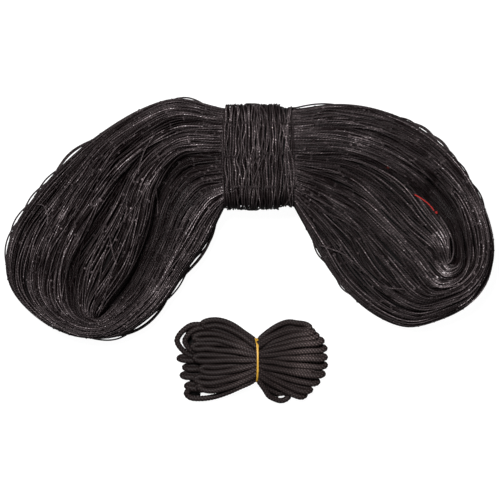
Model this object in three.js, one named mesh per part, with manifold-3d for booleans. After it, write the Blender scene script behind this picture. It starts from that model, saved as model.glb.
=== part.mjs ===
// A cat safety net as it is packed: the knotted twine net gathered into a bow-shaped hank and bound
// at its waist, and a small hank of braided fixing cord held by an elastic band.
// Millimetres, +Z up. Both hanks lie on z = 0, and the origin is at the middle of their outline.
import * as THREE from "three";
import { LoftGeometry } from "three/addons/geometries/LoftGeometry.js";
import { mergeVertices } from "three/addons/utils/BufferGeometryUtils.js";
import Module from "manifold-3d";

const wasm = await Module();
wasm.setup();

// Driving dimensions
const FIT_GAP = 0.3; // clearance between pieces that touch
const WELD = 1e-3; // points closer than this are one point
const WRAP_THICK = 4.2; // binding on the hank's waist, at its thick end
const WRAP_LIFT = WRAP_THICK + FIT_GAP; // height of the waist's underside above the floor
const WAIST_TOP = 56; // top of the net inside the binding
const CORD = 4.5; // diameter of the fixing cord

// A column of a table at a row number that may fall between two rows.
function columnAt(rows, key, row) {
  const first = Math.min(Math.floor(row), rows.length - 2);
  return THREE.MathUtils.lerp(rows[first][key], rows[first + 1][key], row - first);
}

// The geometry with its points merged and the triangles that collapsed taken out.
function weld(geometry) {
  const plain = new THREE.BufferGeometry().copy(geometry);
  plain.deleteAttribute("normal");
  plain.deleteAttribute("uv");
  const merged = mergeVertices(plain, WELD);
  const index = merged.index.array;
  const kept = [];
  for (let i = 0; i < index.length; i += 3) {
    const [a, b, c] = index.slice(i, i + 3);
    if (a !== b && b !== c && a !== c) kept.push(a, b, c);
  }
  merged.setIndex(kept);
  merged.computeVertexNormals();
  return merged;
}

function toSolid(geometry) {
  const welded = weld(geometry);
  return new wasm.Manifold(
    new wasm.Mesh({
      numProp: 3,
      vertProperties: new Float32Array(welded.attributes.position.array),
      triVerts: new Uint32Array(welded.index.array),
    }),
  );
}

function fromSolid(solid) {
  const mesh = solid.getMesh();
  const geometry = new THREE.BufferGeometry();
  geometry.setAttribute("position", new THREE.Float32BufferAttribute(mesh.vertProperties, 3));
  geometry.setIndex(Array.from(mesh.triVerts));
  geometry.computeVertexNormals();
  return geometry;
}

function piece(name, geometry, color, roughness) {
  const material = new THREE.MeshStandardMaterial({ color, roughness, metalness: 0 });
  const mesh = new THREE.Mesh(geometry, material);
  mesh.name = name;
  return mesh;
}

// Net hank: the net runs out of the binding along one arm of a lobe, turns round the lobe's end and
// comes back along the other arm. A section crosses an arm from the valley between the two arms,
// under the arm, round its rim and back over its top. One table row is one section.
const ARM_SPANS = 5; // table rows from the binding to the end of the valley
const ROW_STEPS = 4; // sections for each table row
const RIM_HEIGHT = 0.4; // height of the widest part of a section, as a share of its crown
const RIM_STEPS = 5; // points from the floor to the widest part
const RIM_CREASE = 3; // the one of them that lies in the crease between the lower locks
const CREASE_DEPTH = 2.5; // how far it lies in from the round
const RIM_INSET = 13; // from the widest part in to where the section meets the floor
const MOST_INSET = 0.8; // share of a narrow section that the inset may take
const ARCH = 2.3; // power of the arch: 2 is an ellipse, more is squarer
const LOCK_STEPS = 3; // points across one lock
const LOCK_POWER = 3; // power of a lock's rounded top

// rim: the widest point of each section, its crown height, and where the crown stands between the
// rim (0) and the valley (1). The left lobe runs from the upper arm to the lower one.
const LEFT_RIM = [
  { x: -22, y: 123.5, crown: WAIST_TOP, lean: 0.5 },
  { x: -62, y: 133, crown: 50, lean: 0.5 },
  { x: -126, y: 106, crown: 46, lean: 0.5 },
  { x: -174, y: 65, crown: 43, lean: 0.5 },
  { x: -209, y: 16, crown: 42, lean: 0.5 },
  { x: -213, y: -26, crown: 42, lean: 0.5 },
  { x: -191, y: -56, crown: 40, lean: 0.5 },
  { x: -161, y: -74, crown: 38, lean: 0.5 },
  { x: -134, y: -78, crown: 37, lean: 0.5 },
  { x: -110, y: -74, crown: 36, lean: 0.5 },
  { x: -79, y: -51, crown: 36, lean: 0.5 },
  { x: -56, y: -19, crown: 37, lean: 0.5 },
  { x: -37, y: 8, crown: 40, lean: 0.5 },
  { x: -27, y: 28, crown: 46, lean: 0.5 },
  { x: -22, y: 42, crown: WAIST_TOP, lean: 0.5 },
];
// The right lobe runs from the lower arm to the upper one, which leans away from the open eye.
const RIGHT_RIM = [
  { x: 42, y: 42, crown: WAIST_TOP, lean: 0.5 },
  { x: 49, y: 20, crown: 46, lean: 0.5 },
  { x: 62, y: -4, crown: 40, lean: 0.5 },
  { x: 80, y: -30, crown: 38, lean: 0.5 },
  { x: 107, y: -55, crown: 37, lean: 0.5 },
  { x: 139, y: -68, crown: 37, lean: 0.5 },
  { x: 164, y: -63, crown: 38, lean: 0.5 },
  { x: 194, y: -47, crown: 40, lean: 0.5 },
  { x: 212, y: -18, crown: 42, lean: 0.4 },
  { x: 214, y: 11, crown: 43, lean: 0.35 },
  { x: 199, y: 53, crown: 43, lean: 0.35 },
  { x: 169, y: 92, crown: 43, lean: 0.4 },
  { x: 127, y: 119, crown: 45, lean: 0.5 },
  { x: 80, y: 128, crown: 49, lean: 0.5 },
  { x: 42, y: 123.5, crown: WAIST_TOP, lean: 0.5 },
];
// valley: the line that the two arms of a lobe share, from the binding to its blind end.
const LEFT_VALLEY = [
  { x: -22, y: 86, z: WAIST_TOP },
  { x: -61, y: 81, z: 38 },
  { x: -81, y: 53, z: 26 },
  { x: -88, y: 19, z: 22 },
  { x: -107, y: -26, z: 20 },
  { x: -132, y: -59, z: 18 },
];
const RIGHT_VALLEY = [
  { x: 42, y: 86, z: WAIST_TOP },
  { x: 85, y: 85, z: 40 },
  { x: 125, y: 69, z: 28 },
  { x: 157, y: 42, z: 20 },
  { x: 175, y: 18, z: 13 },
  { x: 176, y: -6, z: 11 },
];
// grooves: the lines that part a lobe's locks, as shares of the way from the rim to the valley where
// the lobe starts, on its first arm, at its turn, on its second arm and where it ends, with a depth.
const LEFT_GROOVES = [
  { start: 0.1, first: 0.15, turn: 0.17, second: 0.2, end: 0.15, depth: 2 },
  { start: 0.18, first: 0.28, turn: 0.33, second: 0.38, end: 0.35, depth: 2.5 },
  { start: 0.24, first: 0.4, turn: 0.48, second: 0.55, end: 0.5, depth: 3 },
  { start: 0.42, first: 0.55, turn: 0.7, second: 0.72, end: 0.68, depth: 5 },
  { start: 0.55, first: 0.79, turn: 0.9, second: 0.88, end: 0.84, depth: 3.5 },
];
const RIGHT_GROOVES = [
  { start: 0.15, first: 0.14, turn: 0.12, second: 0.1, end: 0.12, depth: 2 },
  { start: 0.32, first: 0.28, turn: 0.25, second: 0.2, end: 0.25, depth: 3 },
  { start: 0.5, first: 0.45, turn: 0.42, second: 0.38, end: 0.45, depth: 4 },
  { start: 0.68, first: 0.62, turn: 0.6, second: 0.56, end: 0.62, depth: 2.5 },
  { start: 0.85, first: 0.8, turn: 0.8, second: 0.75, end: 0.8, depth: 2.5 },
];
const GROOVE_STATIONS = ["start", "first", "turn", "second", "end"];

// A lobe: its sections in order, and place(row, share), the point of its smooth top at a table row
// and a share of the way from the rim (0) to the valley (1).
function makeLobe(rim, valley, grooves) {
  const spans = rim.length - 1;
  const rimCurve = new THREE.CatmullRomCurve3(rim.map((r) => new THREE.Vector3(r.x, r.y, r.crown)));
  const valleyCurve = new THREE.CatmullRomCurve3(valley.map((v) => new THREE.Vector3(v.x, v.y, v.z)));

  function sectionAt(row) {
    const along = Math.min(1, row / ARM_SPANS, (spans - row) / ARM_SPANS);
    const opened = Math.min(1, along * ARM_SPANS);
    return {
      outer: rimCurve.getPoint(row / spans),
      inner: valleyCurve.getPoint(along),
      lean: columnAt(rim, "lean", row),
      floor: WRAP_LIFT * (1 - opened),
      opened,
    };
  }

  function topPoint(section, share, groove) {
    const { outer, inner, lean, floor, opened } = section;
    const away = share < lean ? (lean - share) / lean : (share - lean) / (1 - lean);
    const arch = (1 - away ** ARCH) ** (1 / ARCH);
    const edge = floor + RIM_HEIGHT * (outer.z - floor);
    const base = THREE.MathUtils.lerp(edge, inner.z, share);
    const point = new THREE.Vector3().lerpVectors(outer, inner, share);
    point.z = base + (outer.z - base) * arch - groove * arch * opened;
    return point;
  }

  function underPoint(section, share, height) {
    const point = new THREE.Vector3().lerpVectors(section.outer, section.inner, share);
    point.z = section.floor + height;
    return point;
  }

  // The groove lines that a section crosses, with the rim and the valley as its first and last.
  function edgesAt(row) {
    const station = (row / spans) * (GROOVE_STATIONS.length - 1);
    const lines = grooves.map((groove) => ({
      share: columnAt(GROOVE_STATIONS.map((name) => ({ share: groove[name] })), "share", station),
      depth: groove.depth,
    }));
    return [{ share: 0, depth: 0 }, ...lines, { share: 1, depth: 0 }];
  }

  function outline(row) {
    const section = sectionAt(row);
    const width = Math.hypot(section.outer.x - section.inner.x, section.outer.y - section.inner.y);
    const inset = Math.min(RIM_INSET / width, MOST_INSET);
    const edge = RIM_HEIGHT * (section.outer.z - section.floor);
    const points = [underPoint(section, 1, 0), underPoint(section, (1 + inset) / 2, 0)];
    for (let i = 0; i < RIM_STEPS; i++) {
      const turn = (i / RIM_STEPS) * (Math.PI / 2);
      const crease = i === RIM_CREASE ? (CREASE_DEPTH * section.opened) / width : 0;
      const share = inset * (1 - Math.sin(turn)) + crease;
      points.push(underPoint(section, share, edge * (1 - Math.cos(turn))));
    }
    const edges = edgesAt(row);
    for (let lock = 0; lock < edges.length - 1; lock++) {
      for (let i = 0; i < LOCK_STEPS; i++) {
        const across = i / LOCK_STEPS;
        const share = THREE.MathUtils.lerp(edges[lock].share, edges[lock + 1].share, across);
        const depth = THREE.MathUtils.lerp(edges[lock].depth, edges[lock + 1].depth, across);
        points.push(topPoint(section, share, depth * Math.abs(2 * across - 1) ** LOCK_POWER));
      }
    }
    points.push(topPoint(section, 1, 0));
    return points.reverse();
  }

  const sections = [];
  for (let i = 0; i <= spans * ROW_STEPS; i++) sections.push(outline(i / ROW_STEPS));
  return { sections, place: (row, share) => topPoint(sectionAt(row), share, 0) };
}

const leftLobe = makeLobe(LEFT_RIM, LEFT_VALLEY, LEFT_GROOVES);
const rightLobe = makeLobe(RIGHT_RIM, RIGHT_VALLEY, RIGHT_GROOVES);

function netHank() {
  const loop = [...leftLobe.sections, ...rightLobe.sections, leftLobe.sections[0]];
  return weld(new LoftGeometry(loop, { closed: false }));
}

// Waist wrap: turns of the same twine round the hank's waist, thinner over the last turns.
const WRAP_EDGE = 0.6; // from the binding's ends to the ends of the straight waist
const WRAP_TURNS = 10; // ridges along the binding
const TURN_DEPTH = 1; // from a ridge down to the groove beside it
const THIN_TURNS = 2; // turns at the right end that lie in one layer
const THIN_WRAP = 2.4; // thickness there

function waistWrap() {
  const [start, end] = [LEFT_RIM[0].x + WRAP_EDGE, RIGHT_RIM[0].x - WRAP_EDGE];
  const upper = leftLobe.sections[0];
  const lower = leftLobe.sections[leftLobe.sections.length - 1];
  const ring = [...upper, ...lower.slice(1, -1).reverse()].map((p) => new THREE.Vector2(p.y, p.z));
  const profile = [{ x: end, out: 0 }, { x: start, out: 0 }];
  const pitch = (end - start) / WRAP_TURNS;
  for (let turn = 0; turn < WRAP_TURNS; turn++) {
    const thick = turn < WRAP_TURNS - THIN_TURNS ? WRAP_THICK : THIN_WRAP;
    const left = start + turn * pitch;
    profile.push({ x: left, out: thick - TURN_DEPTH }, { x: left + pitch / 2, out: thick });
  }
  profile.push({ x: end, out: THIN_WRAP - TURN_DEPTH });
  const sections = ring.map((point, i) => {
    const before = ring[(i + ring.length - 1) % ring.length];
    const after = ring[(i + 1) % ring.length];
    const along = after.clone().sub(before).normalize();
    const outward = new THREE.Vector2(-along.y, along.x);
    return profile.map(({ x, out }) => {
      const at = point.clone().addScaledVector(outward, FIT_GAP + out);
      return new THREE.Vector3(x, at.x, at.y);
    });
  });
  return weld(new LoftGeometry([...sections, sections[0]]));
}

// Marker thread: a short red yarn lying on the right lobe's lower arm beside the eye.
const THREAD = 1.6; // diameter
const THREAD_LIFT = THREAD / 2 + 2 * FIT_GAP; // its middle above the net
const THREAD_SIDES = 8;
const THREAD_STEPS = 10;
const THREAD_ROUTE = [
  { row: 2.64, share: 0.95 },
  { row: 2.92, share: 0.96 },
  { row: 3.14, share: 0.965 },
  { row: 3.33, share: 0.965 },
];

function markerThread() {
  const points = THREAD_ROUTE.map(({ row, share }) => {
    const point = rightLobe.place(row, share);
    point.z += THREAD_LIFT;
    return point;
  });
  const section = new THREE.Shape().absarc(0, 0, THREAD / 2, 0, 2 * Math.PI);
  const options = {
    steps: THREAD_STEPS,
    curveSegments: THREAD_SIDES,
    extrudePath: new THREE.CatmullRomCurve3(points),
  };
  return weld(new THREE.ExtrudeGeometry(section, options));
}

// Cord hank: the cord runs back and forth through the elastic band, and its folds fan out at both
// ends. One row is one upright layer of folds, from its left tip to its right tip.
const BAND_X = 6.6; // where the band holds the hank
const HANK_Y = -97; // middle of the hank's waist
const HANK_MIDDLE = 14; // height of the waist's middle
const WAIST_WIDE = 17; // half width of the waist, to the middle of its outer layers
const WAIST_HIGH = 11; // half height of the waist
const WAIST_ROUND = 0.9; // how far the outermost layers follow the waist's oval
const FOLD_TOP = 13; // height of a fold's tip, three cords
const FLARE_NEAR = 0.15; // how far out a layer is still spreading from the waist
const FLARE_RISE = 0.4; // share of the spread that it has gained there
const FLARE_FAR = 0.55; // how far out it runs level with its tip
const FOLDS = [
  { leftX: -30, leftY: -63, rightX: 51, rightY: -64 },
  { leftX: -41, leftY: -63, rightX: 56, rightY: -71 },
  { leftX: -52, leftY: -66, rightX: 60, rightY: -77 },
  { leftX: -61, leftY: -71, rightX: 64, rightY: -83 },
  { leftX: -66, leftY: -79, rightX: 65, rightY: -90 },
  { leftX: -65, leftY: -88, rightX: 66, rightY: -97 },
  { leftX: -63, leftY: -97, rightX: 66, rightY: -104 },
  { leftX: -60, leftY: -105, rightX: 64, rightY: -111 },
  { leftX: -60, leftY: -113, rightX: 60, rightY: -118 },
  { leftX: -57, leftY: -121, rightX: 55, rightY: -124 },
  { leftX: -53, leftY: -128, rightX: 48, rightY: -129 },
  { leftX: -43, leftY: -130, rightX: 40, rightY: -131 },
  { leftX: -33, leftY: -129, rightX: 31, rightY: -131 },
];

// A fold's section: as wide as the cord, with a rounded top and a flat foot.
const FOLD_SECTION = [
  { side: -0.5, up: 0 },
  { side: 0.5, up: 0 },
  { side: 0.5, up: 0.75 },
  { side: 0.3, up: 0.94 },
  { side: 0, up: 1 },
  { side: -0.3, up: 0.94 },
  { side: -0.5, up: 0.75 },
];
// Places along one half of a layer, from the band out: how far, how wide, and how far the layer has
// opened from the waist's height to that of its tip.
const FOLD_PLACES = [
  { out: 0, wide: 1, open: 0 },
  { out: 0.2, wide: 1.15, open: 0.35 },
  { out: 0.45, wide: 1.45, open: 0.8 },
  { out: 0.75, wide: 1.6, open: 1 },
  { out: 0.92, wide: 1.5, open: 1 },
  { out: 0.975, wide: 1.1, open: 1 },
  { out: 1, wide: 0.5, open: 1 },
];

function foldLayer(fold, i) {
  const aside = (2 * i) / (FOLDS.length - 1) - 1;
  const round = Math.sqrt(1 - (aside * WAIST_ROUND) ** 2);
  const waist = new THREE.Vector3(BAND_X, HANK_Y - aside * WAIST_WIDE, 0);
  const sections = [];
  for (const [side, tipX, tipY] of [
    [-1, fold.leftX, fold.leftY],
    [1, fold.rightX, fold.rightY],
  ]) {
    const tip = new THREE.Vector3(tipX, tipY, 0);
    const near = new THREE.Vector3().lerpVectors(waist, tip, FLARE_NEAR);
    const far = new THREE.Vector3().lerpVectors(waist, tip, FLARE_FAR);
    near.y = THREE.MathUtils.lerp(waist.y, tip.y, FLARE_RISE);
    far.y = tip.y;
    const curve = new THREE.CubicBezierCurve3(waist, near, far, tip);
    const places = side < 0 ? FOLD_PLACES.slice(1).reverse() : FOLD_PLACES;
    for (const { out, wide, open } of places) {
      const centre = curve.getPoint(out);
      const along = curve.getTangent(out).multiplyScalar(side);
      const across = new THREE.Vector3(-along.y, along.x, 0);
      const bottom = THREE.MathUtils.lerp(HANK_MIDDLE - WAIST_HIGH * round, 0, open);
      const top = THREE.MathUtils.lerp(HANK_MIDDLE + WAIST_HIGH * round, FOLD_TOP, open);
      sections.push(
        FOLD_SECTION.map((p) => {
          const point = centre.clone().addScaledVector(across, p.side * wide * CORD);
          point.z = bottom + (top - bottom) * p.up;
          return point;
        }),
      );
    }
  }
  return toSolid(new LoftGeometry(sections, { capStart: true, capEnd: true }));
}

// Elastic band: one turn of flat yellow elastic that draws the cord hank's waist in.
const BAND_WIDE = 2.5;
const BAND_THICK = 1.2;
const BAND_HALF_Y = 18.4; // half width inside the band
const BAND_HALF_Z = 11; // half height inside the band
const BAND_STEPS = 28;
const BAND_GROOVE = 6; // depth of the cut that seats the band, past the hank's outside

// A flat oval ring round the hank's waist, its inner face set out from the band's by gap.
function waistRing(gap, thick, wide) {
  const [left, right] = [BAND_X - wide / 2, BAND_X + wide / 2];
  const sections = [];
  for (let i = 0; i <= BAND_STEPS; i++) {
    const angle = (i / BAND_STEPS) * 2 * Math.PI;
    const at = (x, out) =>
      new THREE.Vector3(
        x,
        HANK_Y + (BAND_HALF_Y + out) * Math.cos(angle),
        HANK_MIDDLE + (BAND_HALF_Z + out) * Math.sin(angle),
      );
    sections.push([at(left, gap), at(right, gap), at(right, gap + thick), at(left, gap + thick)]);
  }
  return weld(new LoftGeometry(sections));
}

function cordHank() {
  const hank = FOLDS.map(foldLayer).reduce((joined, layer) => joined.add(layer));
  const seat = toSolid(waistRing(-FIT_GAP, BAND_GROOVE, BAND_WIDE + 2 * FIT_GAP));
  return fromSolid(hank.subtract(seat));
}

const part = new THREE.Group();
part.name = "cat_safety_net";
part.add(piece("net_hank", netHank(), 0x222122, 0.6));
part.add(piece("waist_wrap", waistWrap(), 0x222122, 0.6));
part.add(piece("marker_thread", markerThread(), 0xc8281e, 0.7));
part.add(piece("cord_hank", cordHank(), 0x1c1b1c, 0.75));
part.add(piece("elastic_band", waistRing(0, BAND_THICK, BAND_WIDE), 0xf0b43c, 0.5));

export default part;
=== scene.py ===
import math

import bmesh
import bpy
import numpy as np
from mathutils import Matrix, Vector


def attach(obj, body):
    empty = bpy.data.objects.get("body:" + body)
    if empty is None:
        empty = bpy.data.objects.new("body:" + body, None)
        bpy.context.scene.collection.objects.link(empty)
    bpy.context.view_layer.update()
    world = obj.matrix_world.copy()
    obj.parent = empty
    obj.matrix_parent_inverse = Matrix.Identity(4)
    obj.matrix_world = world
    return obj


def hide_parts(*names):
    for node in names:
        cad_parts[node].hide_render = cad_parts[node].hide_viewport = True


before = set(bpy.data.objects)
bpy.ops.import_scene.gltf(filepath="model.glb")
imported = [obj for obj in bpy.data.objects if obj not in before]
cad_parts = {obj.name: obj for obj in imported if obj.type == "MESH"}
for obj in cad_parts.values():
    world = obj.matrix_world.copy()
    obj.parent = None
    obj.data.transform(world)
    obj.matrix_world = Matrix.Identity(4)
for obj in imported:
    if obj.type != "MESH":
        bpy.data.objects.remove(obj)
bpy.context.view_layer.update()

# Net hank: a knotted net of twisted black twine. Its whole width is gathered into one bundle, the
# bundle is folded to and fro and bound at the waist, so in each lobe the twines run out of the
# binding along one arm, turn round the lobe's end and come back along the other arm.
TWINE = 0.0012
MESH_BAR = 0.03
WAIST_LIFT = 0.0045
ARM_SPANS = 5
PER_METRE = 1000
PERCENT = 100


def table(columns, *rows):
    """Rows by the names of their columns, of which those before the bar are in millimetres."""
    lengths, plain = (names.split() for names in columns.split("|"))
    count = len(lengths)
    metric = [[value / PER_METRE for value in row[:count]] + list(row[count:]) for row in rows]
    return [dict(zip(lengths + plain, row)) for row in metric]


LEFT_RIM = table(
    "x y crown | lean steep",
    (-22, 123.5, 56, 0.6, 3),
    (-69, 132.5, 50, 0.7, 3.5),
    (-126, 106, 46, 0.72, 4),
    (-174, 65, 43, 0.72, 4),
    (-209, 16, 42, 0.7, 4),
    (-213, -26, 42, 0.65, 3.5),
    (-191, -56, 40, 0.55, 2.8),
    (-161, -74, 38, 0.5, 2.4),
    (-134, -78, 37, 0.5, 2.2),
    (-110, -74, 36, 0.45, 1.4),
    (-79, -51, 36, 0.35, 1.1),
    (-56, -19, 37, 0.3, 1),
    (-37, 8, 40, 0.3, 1),
    (-27, 28, 46, 0.35, 1.2),
    (-21, 39.5, 56, 0.45, 2),
)
RIGHT_RIM = table(
    "x y crown | lean steep",
    (38.5, 39.5, 56, 0.5, 2.3),
    (49, 20, 46, 0.55, 2.6),
    (62, -4, 40, 0.6, 3),
    (80, -30, 38, 0.65, 3.5),
    (107, -55, 37, 0.65, 3.5),
    (139, -68, 37, 0.6, 3.2),
    (164, -63, 38, 0.5, 2.6),
    (194, -47, 40, 0.45, 2.3),
    (212, -18, 42, 0.35, 1.3),
    (214, 11, 43, 0.28, 0.9),
    (199, 53, 43, 0.28, 0.8),
    (169, 92, 43, 0.4, 1),
    (127, 119, 45, 0.6, 4),
    (80, 128, 49, 0.7, 4),
    (42, 123.5, 56, 0.6, 3),
)
LEFT_VALLEY = table(
    "x y z |",
    (-22, 86, 56),
    (-61, 81, 38),
    (-81, 53, 26),
    (-88, 19, 22),
    (-107, -26, 20),
    (-132, -59, 18),
)
RIGHT_VALLEY = table(
    "x y z |",
    (42, 86, 56),
    (85, 85, 40),
    (125, 69, 28),
    (157, 42, 20),
    (175, 18, 17),
    (176, -6, 20),
)
# For each groove, at each row of the rim's table: how far it lies from the rim to the valley, in
# percent, and how deep it is, in millimetres.
LEFT_GROOVES = table(
    "| shares depths",
    ((10, 10, 12, 14, 15, 16, 17, 20, 20, 20, 20, 20, 20, 15, 12),
     (1, 1, 2, 2, 2, 2, 2, 2, 2, 2, 2, 2, 2, 2, 1)),
    ((22, 22, 22, 25, 27, 30, 33, 36, 38, 38, 38, 38, 38, 35, 30),
     (1, 2, 3, 2.5, 2, 4, 3, 2, 2, 2, 2, 2, 2, 2, 1)),
    ((34, 36, 37, 38, 40, 42, 45, 50, 54, 54, 54, 52, 50, 45, 40),
     (2, 4, 5, 3, 3, 2, 2, 2, 2, 2, 3, 3, 3, 3, 2)),
    ((60, 64, 57, 57, 55, 64, 70, 71, 71, 70, 70, 70, 67, 60, 55),
     (3, 6, 9, 9, 9, 9, 6, 3, 2, 3, 4, 5, 5, 4, 2)),
    ((76, 77, 74, 73, 76, 80, 84, 86, 86, 86, 86, 86, 84, 80, 75),
     (2, 2, 3, 4, 4, 5, 3, 2, 2, 2, 3, 4, 4, 3, 2)),
)
RIGHT_GROOVES = table(
    "| shares depths",
    ((12, 12, 12, 12, 13, 14, 15, 15, 14, 13, 12, 12, 12, 12, 12),
     (1, 2, 2, 2, 2, 2, 2, 2, 2, 2, 2, 2, 2, 2, 1)),
    ((25, 25, 25, 25, 27, 31, 34, 32, 28, 26, 25, 24, 24, 27, 30),
     (2, 2, 3, 3, 3, 6, 7, 4, 2, 2, 2, 3, 4, 4, 2)),
    ((44, 47, 52, 50, 48, 46, 46, 42, 36, 33, 36, 41, 46, 48, 50),
     (2, 3, 4, 3.5, 3, 2, 2, 2, 2, 2, 3, 5, 6, 6, 4)),
    ((65, 62, 65, 66, 68, 68, 66, 62, 62, 63, 66, 70, 74, 72, 70),
     (4, 4, 4, 3, 3, 2, 4, 8, 12, 14, 14, 10, 4, 2, 2)),
    ((80, 79, 78, 80, 84, 85, 84, 82, 81, 81, 83, 86, 88, 86, 84),
     (2, 3, 5, 5, 5, 3, 2, 4, 6, 8, 8, 5, 2, 2, 2)),
)


def unit(vectors):
    return vectors / np.maximum(np.linalg.norm(vectors, axis=-1, keepdims=True), 1e-9)


def columns_of(rows, *names):
    return np.array([[row[name] for name in names] for row in rows])


def curve_through(points, places):
    """Points of the centripetal curve through some others, at places from 0 to 1."""
    ends = (2 * points[:1] - points[1:2], points, 2 * points[-1:] - points[-2:-1])
    knots = np.concatenate(ends)
    at = np.clip(places * (len(points) - 1), 0, len(points) - 1 - 1e-9)
    first = at.astype(int)
    part = (at - first)[:, None]
    p0, p1, p2, p3 = (knots[first + k] for k in range(4))
    d0, d1, d2 = (
        np.maximum(np.linalg.norm(b - a, axis=1) ** 0.5, 1e-6)[:, None]
        for a, b in ((p0, p1), (p1, p2), (p2, p3))
    )
    start = ((p1 - p0) / d0 - (p2 - p0) / (d0 + d1) + (p2 - p1) / d1) * d1
    end = ((p2 - p1) / d1 - (p3 - p1) / (d1 + d2) + (p3 - p2) / d2) * d1
    square = -3 * p1 + 3 * p2 - 2 * start - end
    cube = 2 * p1 - 2 * p2 + start + end
    return p1 + start * part + square * part**2 + cube * part**3


ROW_STEPS = 9
LOCK_COLUMNS = 10
LOCK_CROWD = 1.5
SIDE_COLUMNS = 10
UNDER_COLUMNS = 12
RIM_HEIGHT = 0.4
RIM_INSET = 0.013
MOST_INSET = 0.8
ARCH = 2.3
LOCK_DROP = 0.16
LOCK_RISE = 0.5
TUCK = 0.012
EASE = 0.25


def lobe_surface(rim, valley, grooves, inward):
    """The lobe's outer face: a row for each step along the twines, a column for each place across.

    Columns start in the valley, cross the locks to the rim, go down the side and back under the
    lobe. Each lock falls steeply on its valley side and rises slowly from the lock beyond it. The
    first and last rows are tucked into the binding, which lies inward along X.
    """
    spans = len(rim) - 1
    row = np.linspace(0, spans, spans * ROW_STEPS + 1)
    reach = np.minimum(row, spans - row) / ARM_SPANS
    along = np.minimum(reach, 1) - np.maximum(0, EASE - np.abs(reach - 1)) ** 2 / (4 * EASE)
    opened = np.minimum(1, along * ARM_SPANS)[:, None]
    outer = curve_through(columns_of(rim, "x", "y", "crown"), row / spans)
    inner = curve_through(columns_of(valley, "x", "y", "z"), along)
    stations = np.arange(len(rim))
    lean = np.interp(row, stations, columns_of(rim, "lean")[:, 0])[:, None]
    steep = np.interp(row, stations, columns_of(rim, "steep")[:, 0])[:, None]
    floor = WAIST_LIFT * (1 - opened)
    crown, dip = outer[:, 2:], inner[:, 2:]
    edge = floor + RIM_HEIGHT * (crown - floor)

    lines, depths = [np.zeros((len(row), 1))], [np.zeros((len(row), 1))]
    for groove in grooves:
        lines.append(curve_through(np.array(groove["shares"])[:, None] / PERCENT, row / spans))
        depths.append(np.interp(row, stations, groove["depths"])[:, None] / PER_METRE)
    lines.append(np.ones((len(row), 1)))
    depths.append(np.zeros((len(row), 1)))
    part = (np.arange(LOCK_COLUMNS) / LOCK_COLUMNS)[None, :] ** LOCK_CROWD
    shares, cuts = [], []
    for lock in reversed(range(len(lines) - 1)):
        shares.append(lines[lock + 1] * (1 - part) + lines[lock] * part)
        drop = depths[lock + 1] * np.exp(-((part / LOCK_DROP) ** 2))
        cuts.append(drop + depths[lock] * np.exp(-(((1 - part) / LOCK_RISE) ** 2)))
    share, cut = np.concatenate(shares, 1), np.concatenate(cuts, 1)
    away = np.where(share < lean, (lean - share) / lean, (share - lean) / (1 - lean))
    power = np.where(share < lean, ARCH, steep)
    arch = (1 - np.clip(away, 0, 1) ** power) ** (1 / power)
    base = edge + (dip - edge) * share
    top = base + (crown - base) * arch - cut * np.minimum(1, 2 * arch) * opened

    width = np.linalg.norm(outer[:, :2] - inner[:, :2], axis=1)[:, None]
    inset = np.minimum(RIM_INSET / width, MOST_INSET)
    turn = np.linspace(math.pi / 2, 0, SIDE_COLUMNS + 1)[None, :]
    side_share = inset * (1 - np.sin(turn))
    side = floor + (edge - floor) * (1 - np.cos(turn))
    under_share = inset + (1 - inset) * np.linspace(0, 1, UNDER_COLUMNS + 1)[None, 1:]
    under = floor + 0 * under_share

    share = np.concatenate((share, side_share, under_share), 1)[:, :, None]
    flat = outer[:, None, :2] * (1 - share) + inner[:, None, :2] * share
    height = np.concatenate((top, side, under), 1)[:, :, None]
    surface = np.concatenate((flat, height), 2)
    tuck = np.array((inward * TUCK, 0, 0))
    return np.concatenate((surface[:1] + tuck, surface, surface[-1:] + tuck))


# Painted shade (tone under 1) where a fold shuts out the light, and painted highlights (tone over 1) where
# the twines catch it, at places seen from above.
LEFT_LIGHT_AND_SHADE = table(
    "x y reach | tone",
    (-115, 103, 22, 0.6),
    (-160, 68, 22, 0.65),
    (-195, 30, 16, 0.6),
    (-132, 45, 12, 1.4),
    (-150, 12, 10, 1.4),
    (-113, 56, 10, 0.5),
    (-140, 16, 9, 0.5),
    (-156, -20, 12, 0.5),
    (-85, 60, 12, 1.7),
    (-100, 25, 12, 1.7),
    (-112, -12, 12, 1.5),
    (-66, 75, 11, 0.5),
    (-76, 20, 14, 0.4),
    (-90, -5, 14, 0.35),
    (-108, -30, 13, 0.4),
    (-50, 20, 14, 1.2),
    (-85, -35, 14, 1.3),
    (-200, -30, 14, 0.75),
)
RIGHT_LIGHT_AND_SHADE = table(
    "x y reach | tone",
    (96, 91.4, 11, 3),
    (86, 112, 14, 1.3),
    (102, 80, 11, 0.4),
    (135, 100, 18, 0.65),
    (156.5, 58, 11, 0.65),
    (167.5, 43.5, 8, 0.45),
    (174, 33, 8, 0.3),
    (179, 21, 8, 0.35),
    (183, 8, 9, 0.35),
    (182, -6, 8, 0.4),
    (182, 45.5, 8, 1.7),
    (194, 36, 9, 1.7),
    (203, 20, 9, 1.4),
    (165, 11, 8, 7.5),
    (169, -20, 9, 4.8),
    (166.3, -6.5, 6.5, 0.35),
    (160, -21, 7, 1.6),
    (166, -29, 8, 2),
    (93.5, 26, 10, 0.5),
    (193.5, -36, 12, 2.1),
    (144, -32, 9, 1.5),
    (163, -39, 9, 0.55),
    (66, 66, 14, 0.6),
    (85, -20, 16, 0.75),
    (120, 30, 90, 0.82),
)


def shade(tone, points, shades):
    """Paints shade or highlights into the tones of points near some places seen from above."""
    for place in shades:
        away = np.hypot(points[..., 0] - place["x"], points[..., 1] - place["y"])
        tone *= place["tone"] ** np.exp(-((away / place["reach"]) ** 2))


def even_out(line, times):
    """Smooths a line between its ends, in place."""
    for _ in range(times):
        line[1:-1] = (line[:-2] + 2 * line[1:-1] + line[2:]) / 4


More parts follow.
